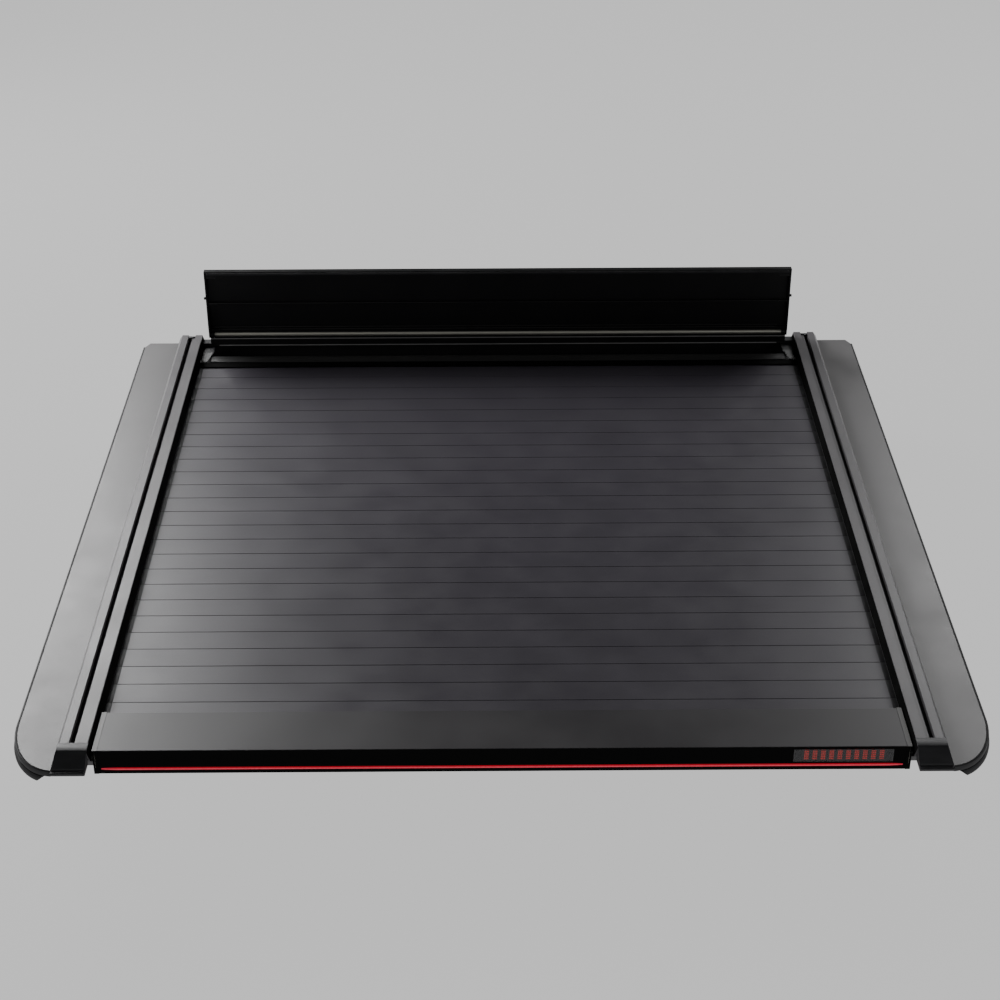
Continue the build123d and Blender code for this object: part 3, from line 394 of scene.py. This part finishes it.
# Near-black rubber, blacker than rubber is. On the mouth wiper it is black rubber deepened into painted shade
# for the gap at the mouth. On the rails' flank strips it is painted shade alone.
GAP_SHADE_RUBBER = rubber("gap_shade_rubber", color=(0.0008, 0.0008, 0.0008), rough=0.9, specular=0.06)
TYRE_RUBBER = rubber("tyre_rubber", color=(0.02, 0.02, 0.02), rough=0.7)
ROD_METAL = brushed_metal("rod_metal", (0.80, 0.79, 0.70), rough=0.50)
TUBE_METAL = brushed_metal("tube_metal", (0.55, 0.55, 0.56), rough=0.36)
# Pale metal for the painted highlights along the edges of the bar's end plates.
EDGE_HIGHLIGHT_METAL = brushed_metal("edge_highlight_metal", (0.60, 0.58, 0.52), rough=0.30)
# Pale metal for the painted highlights along the hinge rail's edges.
EDGE_SHEEN = brushed_metal("edge_sheen", (0.50, 0.50, 0.50), rough=0.42)
SCREW_METAL = brushed_metal("screw_metal", (0.25, 0.25, 0.25), rough=0.35, along=(20, 20, 20))
STRIP_RED = light_bar_red("strip_red", 0.55, STRIP_GLOW_LOW * MM, STRIP_GLOW_HIGH * MM)
SEGMENT_RED = glowing_plastic("segment_red", (0.5, 0.04, 0.02), (0.9, 0.03, 0.01), 3.0)
LENS_SMOKE = smoked_lens("lens_smoke")

# Finish of each material slot of the record, and of the nodes that differ from their slot.
FINISH = {
    "slat_powder_coat": SLAT_PAINT,
    "rail_powder_coat": RAIL_PAINT,
    "cover_powder_coat": COVER_PAINT,
    "cap_plastic": CAP_PLASTIC,
    "black_rubber": BLACK_RUBBER,
    "runner_nylon": NYLON,
    "bar_powder_coat": BAR_PAINT,
    "end_plate_coat": END_PAINT,
    "red_light_lens": STRIP_RED,
    "smoked_lens": LENS_SMOKE,
    "red_light_segments": SEGMENT_RED,
    "screw_steel": SCREW_METAL,
    "canister_coat": CANISTER_PAINT,
    "lid_coat": LID_PAINT,
    "hinge_coat": HINGE_PAINT,
    "rod_steel": ROD_METAL,
    "tube_aluminium": TUBE_METAL,
    "motor_paint": MOTOR_PAINT,
}
OWN_FINISH = {"drive_tyres": TYRE_RUBBER, "mouth_wiper": GAP_SHADE_RUBBER, "lid_end_caps": LID_PAINT}

for part in frame["record"]["subparts"]:
    node = frame["nodes"][part["node"]]
    node.data.materials.clear()
    node.data.materials.append(OWN_FINISH.get(part["node"], FINISH[part["material_slot"]]))


# ---- Mesh helpers, in millimetres ----
def loft(mesh, sections, capped=True, looped=False):
    """Skin of quads over sections that are closed rings of points."""
    rings = [[mesh.verts.new(Vector(point) * MM) for point in section] for section in sections]
    pairs = list(zip(rings, rings[1:]))
    if looped:
        pairs.append((rings[-1], rings[0]))
    count = len(rings[0])
    for first, second in pairs:
        for n in range(count):
            after = (n + 1) % count
            mesh.faces.new((first[n], first[after], second[after], second[n]))
    if capped and not looped:
        mesh.faces.new(rings[0][::-1])
        mesh.faces.new(rings[-1])


def join(mesh, made):
    """Adds one bmesh to another and frees it."""
    copies = {vert: mesh.verts.new(vert.co) for vert in made.verts}
    for face in made.faces:
        mesh.faces.new([copies[vert] for vert in face.verts])
    made.free()


def block(mesh, low, high, bevel):
    """Box between two corners, with bevelled edges."""
    x0, y0, z0 = low
    x1, y1, z1 = high
    made = bmesh.new()
    loft(made, [[(x, y0, z0), (x, y1, z0), (x, y1, z1), (x, y0, z1)] for x in (x0, x1)])
    bmesh.ops.bevel(made, geom=made.edges[:], offset=bevel * MM, segments=2, profile=0.6, affect="EDGES")
    join(mesh, made)


def mirror_copy(mesh):
    """Adds the mirror image in X of everything in the mesh."""
    copies = {vert: mesh.verts.new((-vert.co.x, vert.co.y, vert.co.z)) for vert in mesh.verts[:]}
    for face in mesh.faces[:]:
        mesh.faces.new([copies[vert] for vert in reversed(face.verts)])


def dome(mesh, place, radius, height, normal, sides=16, rings=3):
    """Low rounded head, such as a rivet or a small light, standing on a surface."""
    turn = Vector(normal).to_track_quat("Z", "Y").to_matrix()
    circle = [(cos(2 * pi * n / sides), sin(2 * pi * n / sides)) for n in range(sides)]
    sections = []
    for ring in range(rings + 1):
        swell = radius * cos(ring / (rings + 0.4) * pi / 2)
        lift = height * sin(ring / (rings + 0.4) * pi / 2)
        sections.append([Vector(place) + turn @ Vector((c * swell, s * swell, lift)) for c, s in circle])
    loft(mesh, sections)


def piece(name, mesh, material, body, replaced=(), smooth=35, bevel=0.0):
    """Object made from a bmesh, riding on a body."""
    bmesh.ops.recalc_face_normals(mesh, faces=mesh.faces[:])
    data = bpy.data.meshes.new(name)
    mesh.to_mesh(data)
    mesh.free()
    data.materials.append(material)
    data.shade_smooth()
    data.set_sharp_from_angle(angle=radians(smooth))
    made = bpy.data.objects.new(name, data)
    bpy.context.scene.collection.objects.link(made)
    if bevel:
        edges = made.modifiers.new("edges", "BEVEL")
        edges.width = bevel * MM
        edges.segments = 3
        edges.harden_normals = True
    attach(made, body)
    if replaced:
        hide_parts(*replaced)


def in_mm(node):
    """Lowest and highest corners of a CAD node, in millimetres."""
    low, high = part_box(node)
    return Vector(low) / MM, Vector(high) / MM


# ---- Edge seals: an upright band, a groove and a flared lip along each cover's edge ----
# Each point is its distance out from the cover's side, that out from the cover's nose, and its height.
SEAL_PROFILE = (
    (0.1, 0.1, -0.05), (0.1, 0.1, 2.7), (1.8, 0.6, 3.2), (3.8, 1.2, 2.4), (4.5, 1.5, 1.2), (4.5, 1.5, -6.6),
    (4.1, 1.2, -7.4), (2.5, -0.8, -7.8), (2.5, -0.8, -8.9), (4.8, 1.0, -9.5), (6.6, 2.2, -12.0),
    (7.5, 3.0, -16.0), (7.3, 2.8, -19.0), (6.2, 2.0, -21.0), (4.0, 0.5, -22.0), (-3.5, -4.0, -22.0),
    (-5.0, -6.0, -16.0), (-9.0, -9.0, -10.0), (-9.0, -9.0, -0.05),
)


def seal_start(z):
    """Angle round the corner at which the seal begins at a height."""
    if z > LIP_TOP_Z:
        return BAND_START
    return LIP_START + (LIP_END_START - LIP_START) * (LIP_TOP_Z - z) / LIP_DEPTH


def edge_seal(side, sign):
    name = "edge_seal_" + side
    rear_y = in_mm(name)[1].y
    sections = []
    for step in range(CORNER_STEPS + 1):
        section = []
        for side_out, nose_out, z in SEAL_PROFILE:
            start = seal_start(z)
            turn = radians(start + (360 - start) * step / CORNER_STEPS)
            x = CORNER_X + (CORNER_RX + side_out) * cos(turn)
            y = CORNER_Y + (CORNER_RY + nose_out) * sin(turn)
            section.append((sign * x, y, z))
        sections.append(section)
    edge = CORNER_X + CORNER_RX
    sections.append([(sign * (edge + side_out), rear_y, z) for side_out, nose_out, z in SEAL_PROFILE])
    mesh = bmesh.new()
    loft(mesh, sections)
    piece(name + "_rubber", mesh, BLACK_RUBBER, "frame", (name,), smooth=28)


# ---- Rail end caps, with a blank sunk panel on the sloping face ----
def end_cap(side, sign):
    name = "rail_end_cap_" + side
    low, high = in_mm(name)
    inner = min(abs(low.x), abs(high.x))
    outer = max(abs(low.x), abs(high.x))
    top, nose, back = high.z, low.y, CAP_BACK_Y
    outline = (
        (back, top - 0.4), (back - 0.8, top), (-740, top), (-742.6, top - 0.9), (-744, top - 2.2),
        (-764, 7.0), (-765, 5.8), (-765.4, 3.6), (nose + 1.2, 2.6), (nose, 1.4), (nose + 0.6, low.z),
        (-743, low.z), (-743, top - 3), (back, top - 1.4),
    )
    mesh = bmesh.new()
    rings = []
    for reach in (0.0, 0.035, 0.965, 1.0):
        ring = []
        for y, z in outline:
            taper = CAP_FLARE * max(0.0, (z - CAP_FLARE_Z) / (top - CAP_FLARE_Z))
            width = outer - taper - inner
            ring.append((sign * (inner + width * reach), y, z))
        rings.append(ring)
    loft(mesh, rings)
    largest = max(face.calc_area() for face in mesh.faces)
    slope = [face for face in mesh.faces if len(face.verts) == 4 and face.calc_area() > 0.9 * largest]
    bmesh.ops.inset_region(mesh, faces=slope, thickness=2.6 * MM, depth=0)
    bmesh.ops.inset_region(mesh, faces=slope, thickness=0.7 * MM, depth=-0.6 * MM)
    piece("end_cap_shell_" + side, mesh, CAP_PLASTIC, "frame", (name,), smooth=30, bevel=0.5)


# ---- Painted shade: near-black strips on the inner flanks of the rails, over the slats' ends ----
def rib_flank(z):
    """How far out the inner flank of the right rail's rib is at a height."""
    return RIB_FOOT_X + (RIB_CROWN_X - RIB_FOOT_X) * (z - RIB_FOOT_Z) / (RIB_CROWN_Z - RIB_FOOT_Z)


def flank_shade_strips():
    low, high = in_mm("rail_right")
    foot_z, crown_z = 3.1, 22.0
    foot, crown = rib_flank(foot_z), rib_flank(crown_z)
    mesh = bmesh.new()
    sections = []
    for y in (low.y + 0.6, 600, high.y - 1):
        sections.append([
            (foot, y, foot_z), (foot - 0.45, y, 3.5), (crown - 0.5, y, 21.6), (crown, y, crown_z),
        ])
    loft(mesh, sections)
    mirror_copy(mesh)
    piece("rail_flank_shade_strips", mesh, GAP_SHADE_RUBBER, "frame")


# ---- Dark end shoes clipped over the ends of the slats ----
def slat_shoes():
    mesh = bmesh.new()
    for number in range(1, SLAT_COUNT + 1):
        low, high = in_mm("slat_%02d" % number)
        front, back = low.y + SHOE_GAP, low.y + SLAT_DEPTH - SHOE_GAP
        bottom, top = high.z - SHOE_SINK, high.z + SHOE_RISE
        block(mesh, (SHOE_INNER_X, front, bottom), (SHOE_OUTER_X, back, top), bevel=0.15)
    mirror_copy(mesh)
    piece("slat_end_shoes", mesh, NYLON, "curtain")


# ---- Light strip with a rounded front and tapered ends ----
def light_strip():
    low, high = in_mm("light_strip")
    middle = (low.z + high.z) / 2 - 0.8
    end = high.x + 2.5
    right_half = ((0, 1), (300, 1), (end - STRIP_TAPER, 1), (end - STRIP_TAPER * 0.4, 0.62), (end, 0.12))
    stations = [(-x, size) for x, size in right_half[:0:-1]] + list(right_half)
    mesh = bmesh.new()
    sections = []
    for x, size in stations:
        half = STRIP_HALF * size
        section = [(x, high.y - 0.3, middle - half), (x, high.y - 0.3, middle + half)]
        for step in range(9):
            turn = pi / 2 - pi * step / 8
            y = low.y + STRIP_BULGE - STRIP_BULGE * cos(turn) * size
            section.append((x, y, middle + half * sin(turn)))
        sections.append(section)
    loft(mesh, sections)
    piece("light_strip_diffuser", mesh, STRIP_RED, "curtain", ("light_strip",), smooth=50)


# ---- Brake light: blocks of small lights behind the lens, and a bezel round it ----
def brake_lights():
    board_y = in_mm("brake_light_segments")[1].y
    lens_low, lens_high = in_mm("brake_light_lens")
    middle_z = (lens_low.z + lens_high.z) / 2 - 1.6
    mesh = bmesh.new()
    for number in range(LIGHT_BLOCKS):
        middle_x = lens_low.x + LIGHT_FIRST_X + number * LIGHT_BLOCK_PITCH
        for column in range(LIGHT_COLUMNS):
            for row in range(LIGHT_ROWS):
                x = middle_x + (column - 1) * LIGHT_COLUMN_PITCH
                z = middle_z + (row - 2) * LIGHT_ROW_PITCH
                dome(mesh, (x, board_y, z), LIGHT_RADIUS, LIGHT_HEIGHT, (0, -1, 0), sides=10, rings=2)
    piece("brake_light_leds", mesh, SEGMENT_RED, "curtain", ("brake_light_segments",))


def brake_light_bezel():
    low, high = in_mm("brake_light_lens")
    face, front = low.y, low.y - BEZEL_PROUD
    rim = BEZEL_RIM
    corners = ((low.x, low.z, 1, 1), (high.x, low.z, -1, 1), (high.x, high.z, -1, -1), (low.x, high.z, 1, -1))
    rings = []
    for x, z, dx, dz in corners:
        rings.append([
            (x, face, z), (x + rim * 0.3 * dx, front, z + rim * 0.3 * dz),
            (x + rim * dx, front, z + rim * dz), (x + 1.5 * rim * dx, face, z + 1.5 * rim * dz),
        ])
    mesh = bmesh.new()
    loft(mesh, rings, looped=True)
    dome(mesh, (high.x - 6, face, (low.z + high.z) / 2 + 3), 1.3, 0.7, (0, -1, 0))
    piece("brake_light_bezel", mesh, BEZEL_PAINT, "curtain")


# ---- Painted highlights: pale metal strips along the edges of the leading bar's end plates, where they catch the light ----
def bar_edge_highlights():
    low, high = in_mm("bar_end_plates")
    top, out, front = high.z, high.x, low.y
    along_top = [
        [(out + 0.06, y, top - 1.3), (out - 0.9, y, top + 0.02), (out - 1.2, y, top - 0.5),
         (out - 0.5, y, top - 1.5)]
        for y in (front + 0.3, high.y - 0.3)
    ]
    down_front = [
        [(out - 3.6, front - 0.1, z), (out + 0.1, front + 2.6, z), (out - 0.4, front + 2.8, z),
         (out - 3.6, front + 0.3, z)]
        for z in (-20.0, top - 2)
    ]
    mesh = bmesh.new()
    loft(mesh, along_top)
    loft(mesh, down_front)
    mirror_copy(mesh)
    piece("bar_end_edge_highlights", mesh, EDGE_HIGHLIGHT_METAL, "curtain")


# ---- Trim at the canister's mouth: the wiper's carrier, guides, corner plates, and painted highlights on the hinge rail's edges ----
def mouth_trim():
    start = in_mm("mouth_wiper")[1].y - 1
    stop = start + CARRIER_DEPTH

    carrier = bmesh.new()
    loft(carrier, [
        [(x, start, 4.05), (x, start, 5.6), (x, start + 1, 6.2), (x, stop - 1, 6.2), (x, stop, 5.6),
         (x, stop, 2.6), (x, stop - 1.2, 2.6), (x, stop - 1.2, 4.05)]
        for x in (-CARRIER_REACH, CARRIER_REACH)
    ])
    piece("wiper_carrier", carrier, CARRIER_PAINT, "frame")

    guides = bmesh.new()
    loft(guides, [
        [(663.0, y, 4.2), (663.4, y, 5.4), (inner, y, lift + 1.2), (inner, y, lift)]
        for y, inner, lift in ((start + 1, 650, 4.4), (start + 12, 645, 7.0), (stop + 12, 640, 9.0))
    ])
    block(guides, (657.8, start - 12, 4.2), (662.6, start - 3, 11.5), bevel=0.8)
    dome(guides, (660.2, start - 7.5, 11.5), 1.8, 1.2, (0, 0, 1))
    mirror_copy(guides)
    piece("mouth_guides", guides, GUIDE_PAINT, "frame")

    plates = bmesh.new()
    block(plates, (CARRIER_REACH, stop + 12.5, PLATE_LOW), (663.5, PLATE_BACK_Y, PLATE_TOP), bevel=0.3)
    mirror_copy(plates)
    piece("mouth_corner_plates", plates, CAP_PLASTIC, "frame")

    # Painted highlights: pale metal strips along the hinge rail's upper and lower edges.
    edges = bmesh.new()
    for y, z, reach in HINGE_EDGES:
        loft(edges, [
            [(x, y + 0.1, z - 1.6), (x, y - 0.15, z - 0.6), (x, y + 0.7, z + 0.55), (x, y + 1.6, z + 0.65),
             (x, y + 1.6, z - 1.6)]
            for x in (-reach, reach)
        ])
    piece("hinge_rail_edge_highlights", edges, EDGE_SHEEN, "frame")


# ---- Painted highlights: paler strips along the edges of the lid's ribs and of its end tabs ----
# Each line is its height, its place in Y, and its span in X.
LID_HIGHLIGHT_LINES = (
    (176.2, 750, 627, 647.5), (176.2, 750, -647.5, -627), (112.9, 753, -626, 626), (113.0, 752, 627, 647.5),
    (113.0, 752, -647.5, -627), (52.6, 757, -640, 640), (47.2, 756.4, -640, 640), (189.9, 750, -647, 647),
)


def lid_edge_highlights():
    mesh = bmesh.new()
    for z, y, start, stop in LID_HIGHLIGHT_LINES:
        loft(mesh, [
            [(x, y - 0.12, z - 0.35), (x, y - 0.12, z + 0.15), (x, y + 0.5, z + 0.55), (x, y + 0.5, z - 0.35)]
            for x in (start, stop)
        ])
    piece("lid_edge_highlight_lines", mesh, LID_SHEEN, "lid")


# ---- Plugs that close the rear ends of the rails' top slots ----
def slot_plugs():
    rear = in_mm("rail_right")[1].y
    mesh = bmesh.new()
    for inner, outer, length, bottom, top in PLUG_BLOCKS:
        block(mesh, (inner, rear - length, bottom), (outer, rear - PLUG_SINK, top), bevel=0.5)
    mirror_copy(mesh)
    piece("rail_slot_plugs", mesh, CAP_PLASTIC, "frame")


# ---- Painted highlight: fine raised beads of pale paint along the joint between each cover and its rail, where the edge catches the light ----
def seam_highlight_beads():
    low, high = in_mm("rail_right")
    edge = high.x
    mesh = bmesh.new()
    loft(mesh, [
        [(edge + 0.05, y, 3.95), (edge + 0.25, y, 4.5), (edge + 0.75, y, 4.7), (edge + 1.25, y, 4.5),
         (edge + 1.6, y, 3.95)]
        for y in (low.y + 22, -200, 300, high.y - 1)
    ])
    mirror_copy(mesh)
    piece("cover_seam_highlight_beads", mesh, SEAM_HIGHLIGHT_PAINT, "frame")


# ---- Rivets along the canister's front faces ----
def canister_rivets():
    low, high = in_mm("canister_shell")
    span = high.x - low.x - 2 * RIVET_INSET
    mesh = bmesh.new()
    for number in range(RIVET_COUNT):
        x = low.x + RIVET_INSET + span * number / (RIVET_COUNT - 1)
        for y, z in ((CANISTER_FRONT_Y, low.z + 9), (low.y + 0.05, CANISTER_NOSE_Z)):
            dome(mesh, (x, y, z), RIVET_RADIUS, RIVET_HEIGHT, (0, -1, 0))
    piece("canister_rivets", mesh, SCREW_METAL, "frame")


SIDES = (("left", -1), ("right", 1))
for side, sign in SIDES:
    edge_seal(side, sign)
for side, sign in SIDES:
    end_cap(side, sign)
flank_shade_strips()
slat_shoes()
light_strip()
brake_lights()
brake_light_bezel()
bar_edge_highlights()
mouth_trim()
lid_edge_highlights()
slot_plugs()
seam_highlight_beads()
canister_rivets()

make_camera()
make_stage()
# Name, place, target, size in metres, and power in watts.
add_light("far_left_panel", (-2.2, 2.4, 1.7), (-0.6, 0, 0), (1.8, 1.6), 150)
add_light("far_right_panel", (2.2, 2.8, 1.7), (0.6, 0.6, 0), (1.2, 1.2), 48)
add_light("right_side_panel", (2.6, 0.7, 1.8), (0.7, 0.1, 0), (1.0, 1.0), 6)
add_light("front_left_fill", (-2.4, -2.2, 1.5), (-0.5, 0.7, 0.05), (1.0, 1.0), 3)
add_light("left_rake_panel", (-1.9, 0.3, 0.6), (-0.5, 0.75, 0.03), (0.8, 0.6), 8)
add_light("front_right_fill", (2.2, -2.6, 1.2), (0.6, -0.7, 0), (1.0, 1.0), 8)
